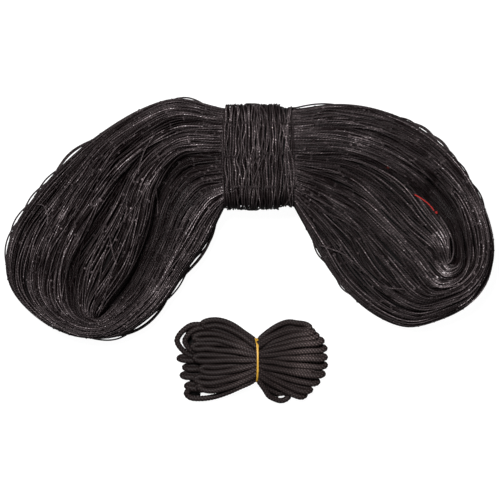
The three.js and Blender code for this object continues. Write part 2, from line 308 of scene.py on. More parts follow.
HOLLOW_REACH = 80
HOLLOW_DEPTH = 0.0034
HOLLOW_TONE, CREST_TONE = 0.25, 1.4
CROWN_DEPTH = 0.03
CROWN_TONE = 1.15
DIMMEST = 0.2
GIRTH_PERCENTILE = 85
NEAR, NEAR_MARGIN = 0.003, 0.0005


class Lobe:
    """A lobe's surface with the directions across it and out of it at every point.

    Twines deep in the fold and in the hollows between the locks get painted shade, and those on the
    crests painted highlights, which the painted light says: under 1 in a hollow and over 1 on a crest.
    The shades are painted shade where a fold shuts out the light, and painted highlights where the
    twines catch it.
    """

    def __init__(self, rim, valley, grooves, shades, inward):
        self.surface = lobe_surface(rim, valley, grooves, inward)
        height = self.surface[:, :, 2]
        level = height
        for _ in range(HOLLOW_REACH):
            wide = np.pad(level, ((0, 0), (1, 1)), "edge")
            level = (wide[:, :-2] + 2 * level + wide[:, 2:]) / 4
        # Painted shade in the hollows and below the crown, painted highlights on the crests.
        hollow = np.clip(1 + (height - level) / HOLLOW_DEPTH, HOLLOW_TONE, CREST_TONE)
        below = height.max(1, keepdims=True) - height
        painted_light = hollow * np.clip(CROWN_TONE - below / CROWN_DEPTH, DIMMEST, CROWN_TONE)
        shade(painted_light, self.surface, shades)
        self.painted_light = np.maximum(painted_light, DIMMEST)[:, :, None]
        self.across = unit(np.gradient(self.surface, axis=1))
        along = unit(np.gradient(self.surface, axis=0))
        self.out = unit(np.cross(self.across, along))
        steps = np.linalg.norm(np.diff(self.surface, axis=1), axis=2)
        typical = np.percentile(steps, GIRTH_PERCENTILE, axis=0)
        self.girth = np.concatenate(([0], np.cumsum(typical)))
        self.rim_column = (len(grooves) + 1) * LOCK_COLUMNS

    def at(self, grid, rows, columns):
        """Values of a grid at fractional rows and columns."""
        rows = np.clip(rows, 0, grid.shape[0] - 1.001)
        columns = np.clip(columns, 0, grid.shape[1] - 1.001)
        r, c = rows.astype(int), columns.astype(int)
        u, v = (rows - r)[..., None], (columns - c)[..., None]
        low = grid[r, c] * (1 - v) + grid[r, c + 1] * v
        high = grid[r + 1, c] * (1 - v) + grid[r + 1, c + 1] * v
        return low * (1 - u) + high * u

    def top_at(self, x, y):
        """The greatest height of the surface near a place seen from above."""
        top = self.surface[:, : self.rim_column].reshape(-1, 3)
        near = np.linalg.norm(top[:, :2] - (x, y), axis=1)
        return top[near < max(NEAR, near.min() + NEAR_MARGIN), 2].max()

    def drape(self, points, samples, lift):
        """A path laid over the lobe through places seen from above, which are in millimetres."""
        flat = curve_through(np.array(points) / PER_METRE, np.linspace(0, 1, samples))
        height = np.array([self.top_at(x, y) for x, y in flat])
        even_out(height, samples // 5)
        return np.column_stack((flat, height + lift))


WAVES = 4
WAVE_SUM = 2.2


def waves(rng, count, places, slowest, fastest):
    """Smooth random lines, a row for each twine, that swing between about -1 and 1."""
    total = np.zeros((count, places.shape[-1]))
    for cycles in np.linspace(slowest, fastest, WAVES):
        phase = rng.uniform(0, 2 * math.pi, (count, 1))
        total += np.sin(2 * math.pi * cycles * places + phase) / WAVE_SUM
    return total


def run_along(points):
    """The length of a path up to each of its points."""
    return np.concatenate(([0], np.cumsum(np.linalg.norm(np.diff(points, axis=0), axis=1))))


SAMPLES = 116
FINE_ROWS = 400
SLOW_ROAM, FAST_ROAM = 0.7, 3.5
LOCK_ROAM = 0.003
LOCK_CYCLES = (1.5, 2.6, 4.2)
FEW_LOCKS, MANY_LOCKS = 9, 22
EDGE_COLUMN = 0.3
CROWDED = 0.0021
ROOMY = 2.5
LEVEL_SWAY, LEVEL_STEP = 0.5, 0.8
SLOW_LEVEL, FAST_LEVEL = 1.5, 8
KNOT_ROW = 3
ROW_JUMP, ROW_SKEW = 0.9, 0.03
TIGHT = 0.9
LEAST_PULL, MOST_PULL = 0.0001, 0.0005
FLOOR_LIFT = 0.55
KNOT = 0.00125
KNOT_SPAN, KNOT_LIFT = 3.5, 0.3
MIDDLE_TONE, LEVEL_TONE = 0.5, 0.6
BURIED_TONE, RAISED_TONE = 0.03, 1.6


def lay_twines(lobe, columns, depth, roam, rng, rise=0, drift=None):
    """Paths of twines on a lobe, pulled together in pairs at the net's knots, those knots and the
    twines' painted light: painted shade where a twine lies low among the others, in a hollow or a
    fold, and painted highlights where it lies on top or on a crest."""
    count = len(columns)
    fine = np.linspace(0, lobe.surface.shape[0] - 1, FINE_ROWS)
    place = np.linspace(0, 1, SAMPLES)
    rows = np.empty((count, SAMPLES))
    length = np.empty((count, SAMPLES))
    for i, c in enumerate(columns):
        run = run_along(lobe.at(lobe.surface, fine, np.full(FINE_ROWS, c)))
        length[i] = place * run[-1]
        rows[i] = np.interp(length[i], run, fine)
    places = np.arange(len(lobe.girth))
    girth = np.interp(columns, places, lobe.girth)[:, None]
    aside = waves(rng, count, place[None, :], SLOW_ROAM, FAST_ROAM) * roam
    for cycles in LOCK_CYCLES:
        across_cycles = rng.uniform(FEW_LOCKS, MANY_LOCKS) * girth + rng.uniform()
        aside += LOCK_ROAM / cycles * np.sin(2 * math.pi * (cycles * place + across_cycles))
    wide = np.interp(girth + aside, lobe.girth, places)
    if drift is not None:
        wide = np.clip(wide + drift, EDGE_COLUMN, places[-1] - EDGE_COLUMN)
    paths = lobe.at(lobe.surface, rows, wide)
    sign = np.where(np.arange(count) % 2 == 0, 1, -1)[:, None]
    apart = np.linalg.norm(np.roll(paths, -1, 0) - np.roll(paths, 1, 0), axis=2)
    roomy = np.clip((apart - CROWDED) / CROWDED * ROOMY, 0, 1)
    top = np.where(np.arange(count)[:, None] % 4 == 2, 2 * roomy - 1, sign)
    level = LEVEL_SWAY * waves(rng, count, place[None, :], SLOW_LEVEL, FAST_LEVEL) + LEVEL_STEP * top
    lift = level * TWINE / 2 - depth + rise
    across = lobe.at(lobe.across, rows, wide)
    out = lobe.at(lobe.out, rows, wide)
    paths = paths + out * lift[..., None]

    painted_light = lobe.at(lobe.painted_light, rows, wide)[..., 0]
    gap = np.linalg.norm(np.diff(paths, axis=0), axis=2)
    gap = np.concatenate((gap, gap[-1:]))
    pull = np.clip((gap - TIGHT * TWINE) / 2, LEAST_PULL, MOST_PULL)
    jump = np.where(np.arange(count) % KNOT_ROW == 0, rng.uniform(-ROW_JUMP, ROW_JUMP, count), 0)
    phase = np.cumsum(rng.normal(0, ROW_SKEW, count) + jump)[:, None]
    beat = length / MESH_BAR + phase
    paths = paths + across * (sign * pull * np.cos(math.pi * beat))[..., None]
    paths[:, :, 2] = np.maximum(paths[:, :, 2], TWINE * FLOOR_LIFT)

    knots = []
    for i in range(count - 1):
        first = math.ceil(beat[i, 0])
        for turn in range(first, math.floor(beat[i, -1]) + 1):
            if (turn + i) % 2:
                continue
            k = int(np.searchsorted(beat[i], turn))
            k = min(max(k, 1), SAMPLES - 2)
            near = np.argmin(np.linalg.norm(paths[i + 1] - paths[i, k], axis=1))
            apart = np.linalg.norm(paths[i + 1, near] - paths[i, k])
            middle = (paths[i, k] + paths[i + 1, near]) / 2 + out[i, k] * KNOT_LIFT * TWINE
            if apart < KNOT_SPAN * TWINE and middle[2] > 2 * KNOT:
                knots.append((middle, paths[i, k + 1] - paths[i, k - 1], out[i, k], painted_light[i, k]))
    # Painted shade on twines that lie lower among the others, painted highlights on those on top.
    return paths, knots, painted_light * np.clip(MIDDLE_TONE + LEVEL_TONE * level, BURIED_TONE, RAISED_TONE)


def add_strand_data(mesh, uv, tone):
    """The UV map that runs along a strand and the tone of each point, for the twine's material."""
    layer = mesh.uv_layers.new(name="strand")
    layer.data.foreach_set("uv", uv.reshape(-1).astype(np.float32))
    values = mesh.attributes.new("tone", "FLOAT", "POINT")
    values.data.foreach_set("value", tone.reshape(-1).astype(np.float32))


TURN_SHIFT = 0.0049
GOLDEN_PART = 0.618
UPRIGHT = 0.8


def tube_mesh(name, paths, radius, sides, tone, closed=False, flank_shade=0):
    """One mesh of many tubes of equal sample counts, with a UV map along each tube and a tone.

    The radius and the tone are numbers or arrays for each tube, sample and side. The tube's flanks
    get painted shade: they are darker than the upper side by the share that is given.
    """
    paths = np.asarray(paths)
    count, samples = paths.shape[:2]
    if closed:
        forward = unit(np.roll(paths, -1, 1) - np.roll(paths, 1, 1))
    else:
        forward = unit(np.gradient(paths, axis=1))
    up = np.zeros_like(paths)
    guess = np.where(np.abs(forward[:, 0, 2:]) < UPRIGHT, (0, 0, 1), (1, 0, 0))
    for k in range(samples):
        guess = unit(guess - forward[:, k] * (guess * forward[:, k]).sum(1)[:, None])
        up[:, k] = guess
    over = np.cross(forward, up)
    angle = np.arange(sides) / sides * 2 * math.pi
    radius = np.broadcast_to(radius, (count, samples, sides))[..., None]
    ring = up[:, :, None] * np.cos(angle)[:, None] + over[:, :, None] * np.sin(angle)[:, None]
    points = (paths[:, :, None] + ring * radius).reshape(-1, 3)

    steps = samples if closed else samples - 1
    i, k, s = np.meshgrid(np.arange(count), np.arange(steps), np.arange(sides), indexing="ij")
    after, beside = (k + 1) % samples, (s + 1) % sides

    def index(sample, side):
        return (i * samples + sample) * sides + side

    faces = np.stack((index(k, s), index(k, beside), index(after, beside), index(after, s)), -1)
    faces = faces.reshape(-1, 4)
    trace = np.concatenate((paths, paths[:, :1]), 1) if closed else paths
    run = np.cumsum(np.linalg.norm(np.diff(trace, axis=1), axis=2), 1)
    shift = (np.arange(count) * GOLDEN_PART % 1)[:, None] * TURN_SHIFT
    run = np.concatenate((np.zeros((count, 1)), run), 1) + shift
    u = np.stack((run[i, k], run[i, k], run[i, k + 1], run[i, k + 1]), -1).reshape(-1)
    v = np.stack((s, s + 1, s + 1, s), -1).reshape(-1) / sides
    mesh = bpy.data.meshes.new(name)
    mesh.vertices.add(len(points))
    mesh.vertices.foreach_set("co", points.reshape(-1).astype(np.float32))
    mesh.loops.add(faces.size)
    mesh.loops.foreach_set("vertex_index", faces.reshape(-1).astype(np.int32))
    mesh.polygons.add(len(faces))
    mesh.polygons.foreach_set("loop_start", np.arange(0, faces.size, 4, dtype=np.int32))
    mesh.polygons.foreach_set("use_smooth", np.ones(len(faces), bool))
    tone = np.reshape(tone, np.shape(tone) + (1,) * (3 - np.ndim(tone)))
    # Painted shade on the flanks: the upper side is lightest.
    tone = np.broadcast_to(tone, (count, samples, sides)) * (1 - flank_shade + flank_shade * np.maximum(0, np.cos(angle)))
    add_strand_data(mesh, np.stack((u, v), 1), tone)
    mesh.update(calc_edges=True)
    return mesh


def show(mesh, material):
    """A piece of the part's one body, with the mesh's name."""
    piece = bpy.data.objects.new(mesh.name, mesh)
    bpy.context.scene.collection.objects.link(piece)
    piece.data.materials.append(material)
    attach(piece, "root")
    return piece


def math_node(tree, operation, first, second=None):
    node = tree.nodes.new("ShaderNodeMath")
    node.operation = operation
    for socket, value in zip(node.inputs, (first, second)):
        if value is None:
            continue
        if isinstance(value, (int, float)):
            socket.default_value = value
        else:
            tree.links.new(value, socket)
    return node.outputs[0]


def plies_group():
    """Height of the plies that are twisted into a twine, from the UV map that runs along it."""
    tree = bpy.data.node_groups.new("twisted plies", "ShaderNodeTree")
    tree.interface.new_socket("Turns a metre", in_out="INPUT", socket_type="NodeSocketFloat")
    tree.interface.new_socket("Plies", in_out="INPUT", socket_type="NodeSocketFloat")
    tree.interface.new_socket("Height", in_out="OUTPUT", socket_type="NodeSocketFloat")
    given = tree.nodes.new("NodeGroupInput")
    result = tree.nodes.new("NodeGroupOutput")
    uv = tree.nodes.new("ShaderNodeUVMap")
    uv.uv_map = "strand"
    split = tree.nodes.new("ShaderNodeSeparateXYZ")
    tree.links.new(uv.outputs["UV"], split.inputs[0])
    along = math_node(tree, "MULTIPLY", split.outputs["X"], given.outputs["Turns a metre"])
    turned = math_node(tree, "ADD", along, split.outputs["Y"])
    angle = math_node(tree, "MULTIPLY", turned, given.outputs["Plies"])
    wave = math_node(tree, "SINE", math_node(tree, "MULTIPLY", angle, math.pi))
    tree.links.new(math_node(tree, "ABSOLUTE", wave), result.inputs["Height"])
    return tree


def new_material(name, roughness, specular=0.5):
    """A material with its node tree and its shader."""
    material = bpy.data.materials.new(name)
    material.use_nodes = True
    shader = material.node_tree.nodes["Principled BSDF"]
    shader.inputs["Roughness"].default_value = roughness
    shader.inputs["Specular IOR Level"].default_value = specular
    return material, material.node_tree, shader


def noise_value(tree, scale, detail=2):
    """Noise that lies still on the piece."""
    place = tree.nodes.new("ShaderNodeTexCoord")
    noise = tree.nodes.new("ShaderNodeTexNoise")
    noise.inputs["Scale"].default_value = scale
    noise.inputs["Detail"].default_value = detail
    tree.links.new(place.outputs["Object"], noise.inputs["Vector"])
    return noise.outputs["Fac"]


def tone_value(tree):
    tone = tree.nodes.new("ShaderNodeAttribute")
    tone.attribute_name = "tone"
    return tone.outputs["Fac"]


def colour_by(tree, shader, value, *colours):
    """Colours the shader by a value, from the first colour at 0 to the last at 1."""
    ramp = tree.nodes.new("ShaderNodeValToRGB")
    stops = ramp.color_ramp.elements
    if len(colours) == 3:
        stops.new(0.5)
    for stop, colour in zip(stops, colours):
        stop.color = (*colour, 1)
    tree.links.new(value, ramp.inputs["Fac"])
    tree.links.new(ramp.outputs["Color"], shader.inputs["Base Color"])


def raise_by(tree, shader, height, strength, distance):
    """Bumps the shader's surface by a height."""
    bump = tree.nodes.new("ShaderNodeBump")
    bump.inputs["Strength"].default_value = strength
    bump.inputs["Distance"].default_value = distance
    tree.links.new(height, bump.inputs["Height"])
    tree.links.new(bump.outputs["Normal"], shader.inputs["Normal"])


PLIES = plies_group()
PLY_COUNT = 2
TWIST = 205
PLY_HEIGHT = 0.0005
PLY_POWER = 3
GRAIN_SCALE, GLINT_SCALE = 90, 620
GLINT_POWER, GLINT_GAIN = 3.6, 5
PEAK_GLOW, BASE_GLOW = 0.22, 0.175
PAINTED_GLINT = 0.6
TWINE_SPECULAR = 0.12


def twine_material(name, dark, light, painted_shine, roughness):
    """Twisted plastic twine: dark, a little shiny, its plies raised, no two twines quite alike. The
    glints on its plies are painted highlights.
    """
    material, tree, shader = new_material(name, roughness, TWINE_SPECULAR)
    plies = tree.nodes.new("ShaderNodeGroup")
    plies.node_tree = PLIES
    plies.inputs["Turns a metre"].default_value = TWIST
    plies.inputs["Plies"].default_value = PLY_COUNT
    height = plies.outputs["Height"]
    both = math_node(tree, "MULTIPLY", tone_value(tree), noise_value(tree, GRAIN_SCALE, 3))
    # Painted highlights: glints on the crests of the plies, strongest where the tone is high, with painted
    # shade between the plies.
    sharp = math_node(tree, "POWER", noise_value(tree, GLINT_SCALE, 1), GLINT_POWER)
    sharp = math_node(tree, "MULTIPLY", sharp, GLINT_GAIN)
    ply_glint = math_node(tree, "MULTIPLY", math_node(tree, "POWER", height, PLY_POWER), sharp)
    raised = math_node(tree, "ADD", math_node(tree, "MULTIPLY", ply_glint, PEAK_GLOW), BASE_GLOW)
    lit = math_node(tree, "MULTIPLY", both, raised)
    painted_glint = math_node(tree, "POWER", math_node(tree, "MULTIPLY", both, ply_glint), 2)
    lit = math_node(tree, "ADD", lit, math_node(tree, "MULTIPLY", painted_glint, PAINTED_GLINT))
    colour_by(tree, shader, math_node(tree, "MULTIPLY", lit, 0.5), dark, light, painted_shine)
    raise_by(tree, shader, height, 1, PLY_HEIGHT)
    return material


# The third colour is the painted highlight of the brightest glints.
net_twine = twine_material("net twine", (0.0047, 0.0024, 0.0026), (0.296, 0.243, 0.251),
                           (0.62, 0.58, 0.59), 0.36)
# The twines deep in the hank are painted nearly black, as painted shade: they show only as darkness
# between the outer ones.
shaded_packed_twine, tree, shader = new_material("packed twine", 0.9, 0.1)
colour_by(tree, shader, noise_value(tree, 400), (0.001, 0.001, 0.001), (0.006, 0.0055, 0.0055))
CORE_DEPTH = 0.0036


def finish_mesh(name, shape):
    """A smooth mesh from a bmesh, which is freed."""
    for face in shape.faces:
        face.smooth = True
    bmesh.ops.recalc_face_normals(shape, faces=shape.faces)
    mesh = bpy.data.meshes.new(name)
    shape.to_mesh(mesh)
    shape.free()
    return mesh


def core_mesh(name, lobe):
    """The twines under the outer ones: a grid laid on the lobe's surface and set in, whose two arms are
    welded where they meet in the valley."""
    skin = lobe.surface - lobe.out * CORE_DEPTH
    skin[:, :, 2] = np.maximum(skin[:, :, 2], CORE_DEPTH)
    for seam in (0, -1):
        skin[:, seam] = (skin[:, seam] + skin[::-1, seam]) / 2
    rows, columns = skin.shape[:2]
    shell = bmesh.new()
    bmesh.ops.create_grid(shell, x_segments=columns - 1, y_segments=rows - 1, size=1)
    for vertex, point in zip(shell.verts, skin.reshape(-1, 3)):
        vertex.co = point
    bmesh.ops.remove_doubles(shell, verts=shell.verts, dist=1e-5)
    bmesh.ops.holes_fill(shell, edges=[e for e in shell.edges if e.is_boundary], sides=0)
    return finish_mesh(name, shell)


KNOT_LONG, KNOT_WIDE, KNOT_HIGH = 1.2, 1.05, 0.9
KNOT_UNEVEN = (0.85, 1.15)
KNOT_TONES = (0.5, 1)
KNOT_UV = ((0, 0), (0.0008, 0.5), (0.0016, 0))


def knot_mesh(name, knots, rng):
    """A small round lump of twine at each knot, longer along the twine than across it."""
    ball = bmesh.new()
    bmesh.ops.create_icosphere(ball, subdivisions=1, radius=1)
    ball.verts.ensure_lookup_table()
    shape = np.array([v.co for v in ball.verts])
    triangles = np.array([[v.index for v in f.verts] for f in ball.faces])
    ball.free()
    middle, along, out, painted_light = (np.array(part) for part in zip(*knots))
    along, out = unit(along), unit(out)
    aside = unit(np.cross(out, along))
    out = np.cross(along, aside)
    scale = KNOT * rng.uniform(*KNOT_UNEVEN, (len(knots), 3)) * (KNOT_LONG, KNOT_WIDE, KNOT_HIGH)
    points = (
        middle[:, None]
        + along[:, None] * (shape[:, 0] * scale[:, :1])[..., None]
        + aside[:, None] * (shape[:, 1] * scale[:, 1:2])[..., None]
        + out[:, None] * (shape[:, 2] * scale[:, 2:])[..., None]
    )
    faces = triangles[None] + np.arange(len(knots))[:, None, None] * len(shape)
    mesh = bpy.data.meshes.new(name)
    mesh.from_pydata(points.reshape(-1, 3).tolist(), [], faces.reshape(-1, 3).tolist())
    mesh.polygons.foreach_set("use_smooth", np.ones(len(mesh.polygons), bool))
    uv = np.tile(np.array(KNOT_UV), (len(mesh.polygons), 1))
    # The last part of each knot is its tone, which for the lobes' knots holds the twines' painted shade and
    # highlights.
    tone = np.repeat(rng.uniform(*KNOT_TONES, len(knots)) * painted_light, len(shape))
    add_strand_data(mesh, uv, tone)
    return mesh


SLIT = 0.0021
FULL_SLIT, SHORT_SLIT = 0.01, 0.25
BAR_REACH, BAR_LONGER = 1.9, 0.35
BAR_STEP = 0.0013
BAR_CURVE, BAR_TUCK = 1.6, 6
BAR_KNOTS = ((6, 8), (-7, -9))
BAR_KNOT_TONE = 0.5


def edge_twines(lobe, slits):
    """Slack outer bars that stand off the lobe's outline, with the floor showing through between."""
    paths, knots = [], []
    fine = np.linspace(0, lobe.surface.shape[0] - 1, FINE_ROWS)
    column = np.full(FINE_ROWS, lobe.rim_column)
    rim = lobe.at(lobe.surface, fine, column)
    length = run_along(rim)
    at = np.linspace(-1, 1, SAMPLES)
    for slit in slits:
        middle = length[np.argmin(np.hypot(rim[:, 0] - slit["x"], rim[:, 1] - slit["y"]))]
        for bar in range(slit["bars"]):
            rows = np.interp(middle + at * slit["long"] * (BAR_REACH + BAR_LONGER * bar), length, fine)
            line, out = (lobe.at(grid, rows, column[:SAMPLES]) for grid in (lobe.surface, lobe.out))
            out = unit(out * (1, 1, 0))
            most = SLIT * min(1, SHORT_SLIT + (1 - SHORT_SLIT) * slit["long"] / FULL_SLIT) + BAR_STEP * bar
            stand = most * np.cos(math.pi / 2 * at) ** BAR_CURVE - TWINE * np.abs(at) ** BAR_TUCK
            paths.append(line + out * stand[:, None])
        for end, after in BAR_KNOTS:
            path = paths[-1]
            knots.append((path[end], path[after] - path[end], out[end], BAR_KNOT_TONE))
    return np.array(paths), knots


LEFT_SLITS = table(
    "x y long | bars",
    (-54, 132, 8, 1),
    (-157, 83, 11, 2),
    (-176, 59, 9, 1),
    (-190, 47, 9, 1),
    (-206, 26, 10, 1),
    (-213, 6, 11, 1),
    (-120, -77, 12, 1),
    (-92, -62, 14, 2),
    (-68, -27, 11, 1),
    (-47, -3, 14, 2),
    (-38, 9, 10, 1),
)
RIGHT_SLITS = table(
    "x y long | bars",
    (53, 126, 14, 1),
    (141, 112, 6, 1),
    (153, 104, 8, 2),
    (167, 92, 8, 2),
    (176, 82, 7, 1),
    (186, 70, 7, 1),
    (202, 47, 8, 1),
    (62, -1, 6, 1),
    (82, -33, 5, 1),
)
# The loose bars' points seen from above, in millimetres.
LEFT_LOOSE = [
    [(-185.7, 39.6), (-180.8, 39.2), (-177.3, 34.3), (-175.6, 28.2), (-176.4, 21.1)],
    [(-106.5, 43.1), (-107.2, 34), (-108.7, 24.6)],
    [(-121.4, 11.4), (-119.2, -1), (-115.7, -12.3)],
    [(-81.4, 54.6), (-80.6, 43), (-80.5, 30.8)],
    [(-82, 100.5), (-90, 88), (-94.5, 77), (-96.5, 66.5)],
]
RIGHT_LOOSE = [
    [(165.9, 29.9), (172, 20.2), (175.6, 13.2), (178.2, 5.3), (178.2, -2.6),
     (174.7, -10.6), (167.6, -12.3), (160.6, -8.8)],
    [(62, 4), (71, 1), (81.5, -3.5), (90.5, -11)],
    [(115, -31), (124, -33.5), (133.5, -34)],
]
PITCH = 0.0015
PITCH_UNEVEN, PITCH_EDGE = 0.12, 0.4
FLANK_SHADE = 0.85
# The inner layer is painted dim: painted shade under the outer twines.
LAYERS = {
    "outer": dict(depth=0.6 * TWINE, pitch=PITCH, roam=0.0009, dim=1),
    "inner": dict(depth=1.7 * TWINE, pitch=1.4 * PITCH, roam=0.0006, dim=0.2),
}
LEAST_TONE, TONE_SPREAD, TONE_POWER = 0.72, 2.1, 1.8
STRAYS = 44
STRAY_ROAM = 0.0006
STRAY_DRIFT, SLOW_DRIFT, FAST_DRIFT = 2.2, 0.6, 3.2
STRAY_RISE = 0.0006
STRAY_TUCK, TUCK_POWER = 0.0018, 8
STRAY_TONES = (0.7, 1.2)
RIM_MARGIN = 5
EDGE_TWINE = 0.0014
LOOSE_SAMPLES = 36
LOOSE_LIFT = 0.0011
LOOSE_TONE, END_TONE = 1.2, 0.7
lobes = {
    "left": Lobe(LEFT_RIM, LEFT_VALLEY, LEFT_GROOVES, LEFT_LIGHT_AND_SHADE, 1),
    "right": Lobe(RIGHT_RIM, RIGHT_VALLEY, RIGHT_GROOVES, RIGHT_LIGHT_AND_SHADE, -1),
}
for number, (side, lobe) in enumerate(lobes.items()):
    rng = np.random.default_rng(20 + number)
    girth, places = lobe.girth[-1], np.arange(lobe.surface.shape[1])
    core = show(core_mesh(f"net_{side}_core", lobe), shaded_packed_twine)
    if side == "left":
        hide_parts("net_hank")
    all_knots = []
    for layer, given in LAYERS.items():
        pitch = given["pitch"]
        spread = np.arange(PITCH_EDGE * pitch, girth - PITCH_EDGE * pitch, pitch)
        spread = spread + rng.normal(0, PITCH_UNEVEN * pitch, len(spread))
        columns = np.interp(np.sort(spread), lobe.girth, places)
        paths, knots, painted_light = lay_twines(lobe, columns, given["depth"], given["roam"], rng)
        tone = LEAST_TONE + TONE_SPREAD * rng.uniform(0, 1, (len(paths), 1)) ** TONE_POWER
        # Painted shade on the inner layer and the lobe's painted shade and highlights.
        tone = tone * given["dim"] * painted_light
        name = f"net_{side}_{layer}_twines"
        show(tube_mesh(name, paths, TWINE / 2, 4, tone, flank_shade=FLANK_SHADE), net_twine)
        if layer == "outer":
            all_knots += knots
    columns = np.sort(rng.uniform(1, lobe.rim_column - RIM_MARGIN, STRAYS))
    place = np.linspace(0, 1, SAMPLES)
    drift = waves(rng, STRAYS, place[None, :], SLOW_DRIFT, FAST_DRIFT) * STRAY_DRIFT
    rise = STRAY_RISE - STRAY_TUCK * (1 - np.sin(math.pi * place)) ** TUCK_POWER
    paths, knots, painted_light = lay_twines(lobe, columns, 0, STRAY_ROAM, rng, rise, drift)
    edges, edge_knots = edge_twines(lobe, LEFT_SLITS if side == "left" else RIGHT_SLITS)
    paths = np.concatenate((paths, edges))
    tone = rng.uniform(*STRAY_TONES, (len(paths), 1)) * np.ones(SAMPLES)
    # The strays take the lobe's painted shade and highlights.
    tone[:STRAYS] *= painted_light
    radius = np.where(np.arange(len(paths)) < STRAYS, TWINE, EDGE_TWINE)[:, None, None] / 2
    name = f"net_{side}_stray_twines"
    show(tube_mesh(name, paths, radius, 4, tone, flank_shade=FLANK_SHADE), net_twine)
    loose = LEFT_LOOSE if side == "left" else RIGHT_LOOSE
    paths = np.array([lobe.drape(points, LOOSE_SAMPLES, LOOSE_LIFT) for points in loose])
    bars = tube_mesh(f"net_{side}_loose_bars", paths, TWINE / 2, 6, np.full(len(loose), LOOSE_TONE))
    show(bars, net_twine)
    for path in paths:
        for end, after in ((0, 1), (-1, -2)):
            all_knots.append((path[end], path[after] - path[end], (0, 0, 1), END_TONE))
    all_knots += knots + edge_knots
    show(knot_mesh(f"net_{side}_knots", all_knots, rng), net_twine)

# Waist wrap: the binding round the hank's waist, of the net's own twine, wound round and round
# over the gathered net and over itself. Its turns lie side by side with a row of knots here and
# there, and the last turns cross the others, in its middle and at its right edge.
WRAP_LEFT, WRAP_RIGHT = -0.0208, 0.0368
WRAP_STEP = 0.0256
WRAP_PITCH = 0.0021
WRAP_TWINE = 0.0012
WRAP_SAMPLES = 84
WRAP_MIDDLE, WRAP_MIDDLE_Y = 0.008, 0.082
WRAP_BULGE, WRAP_HALF = 0.1, 0.042


def points_along(path, run, at):
    """Points of a path at some lengths along it."""
    return np.stack([np.interp(at, run, values) for values in path.T], 1)


ring = np.concatenate((lobes["left"].surface[1], lobes["left"].surface[-2][::-1]))[:, 1:]
run = run_along(ring)
ring = points_along(ring, run, np.linspace(0, run[-1], WRAP_SAMPLES + 1)[:-1])
for _ in range(3):
    ring = (np.roll(ring, 1, 0) + 2 * ring + np.roll(ring, -1, 0)) / 4
ring_along = unit(np.roll(ring, -1, 0) - np.roll(ring, 1, 0))
ring_out = np.stack((ring_along[:, 1], -ring_along[:, 0]), 1)
ring_out *= np.sign(((ring - ring.mean(0)) * ring_out).sum())


def wrap_turn(x, off):
    """A turn of twine round the waist, at a place along X and a distance off, wider halfway."""
    flat = ring + ring_out * np.broadcast_to(off, WRAP_SAMPLES)[:, None]
    barrel = 1 + WRAP_BULGE * np.clip(1 - ((ring[:, 0] - WRAP_MIDDLE_Y) / WRAP_HALF) ** 2, 0, 1)
    return np.column_stack((WRAP_MIDDLE + (x - WRAP_MIDDLE) * barrel, flat))


# The two lower layers of turns are painted dark: painted shade under the outer layer.
WRAP_LAYERS = table("off | tone", (1.4, 0.06), (3.3, 0.06), (4, 1.4))
WRAP_THIN, FIRST_THIN = 0.003, 0.0008
THIN_TONE = 0.45
TURN_TONES = (0.3, 1.5)
SHADED_Y, SHADED_TONES = (0.042, 0.06), (0.55, 1.05)
SWAY, SWAY_CYCLES = 0.0003, (1, 3, 6, 10, 14)
WEAVE, WEAVE_CYCLES, WEAVE_TONE = 0.0004, 5, 0.35
rng = np.random.default_rng(31)
turns, tones = [], []
wrap_shade = np.interp(ring[:, 0], SHADED_Y, SHADED_TONES)
ring_place = np.linspace(0, 1, WRAP_SAMPLES, endpoint=False)
for number, layer in enumerate(WRAP_LAYERS):
    for x in np.arange(WRAP_LEFT + 0.5 * (number % 2) * WRAP_PITCH, WRAP_RIGHT, WRAP_PITCH):
        thin = WRAP_THIN if x > WRAP_STEP else FIRST_THIN if x == WRAP_LEFT else 0
        sway = np.zeros(WRAP_SAMPLES)
        for cycles in SWAY_CYCLES:
            sway += rng.normal(0, SWAY) * np.sin(2 * math.pi * (cycles * ring_place + rng.uniform()))
        weave = np.sin(2 * math.pi * (WEAVE_CYCLES * ring_place + rng.uniform()))
        turns.append(wrap_turn(x + sway, layer["off"] - thin + WEAVE * weave))
        dim = THIN_TONE if x > WRAP_STEP else 1
        tones.append(dim * layer["tone"] * rng.uniform(*TURN_TONES) * (1 + WEAVE_TONE * weave) * wrap_shade)
WRAP_CROSSINGS = table(
    "x swing off | phase tone",
    (1, 7, 4.7, 0.1, 1),
    (4, 8, 4.7, 0.11, 1),
    (8, 8, 4.7, 0.13, 1),
    (30.5, 5.5, 1.9, 0.45, 1.8),
    (32.5, -4, 2.1, 0.3, 1.6),
    (33.5, 3.5, 1.8, 0.7, 1.8),
)
for cross in WRAP_CROSSINGS:
    sway = cross["swing"] * np.sin(2 * math.pi * (ring_place * 2 + cross["phase"]))
    turns.append(wrap_turn(cross["x"] + sway, cross["off"]))
    tones.append(np.full(WRAP_SAMPLES, cross["tone"]))
turns = np.array(turns)
turns[:, :, 2] = np.maximum(turns[:, :, 2], WRAP_TWINE / 2)
wrap_mesh = tube_mesh("waist_turns", turns, WRAP_TWINE / 2, 6, np.array(tones), closed=True, flank_shade=FLANK_SHADE)
wrap = show(wrap_mesh, net_twine)
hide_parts("waist_wrap")
KNOTTED_TURNS = 27
KNOT_ROWS_Y = (0.109, 0.081, 0.0546)
KNOT_SCATTER = 0.0008
KNOT_CHANCE = 0.75
KNOT_SET = (0.0006, 0, 0.0004)
UPPER_SIDE = 0.03
knots = []
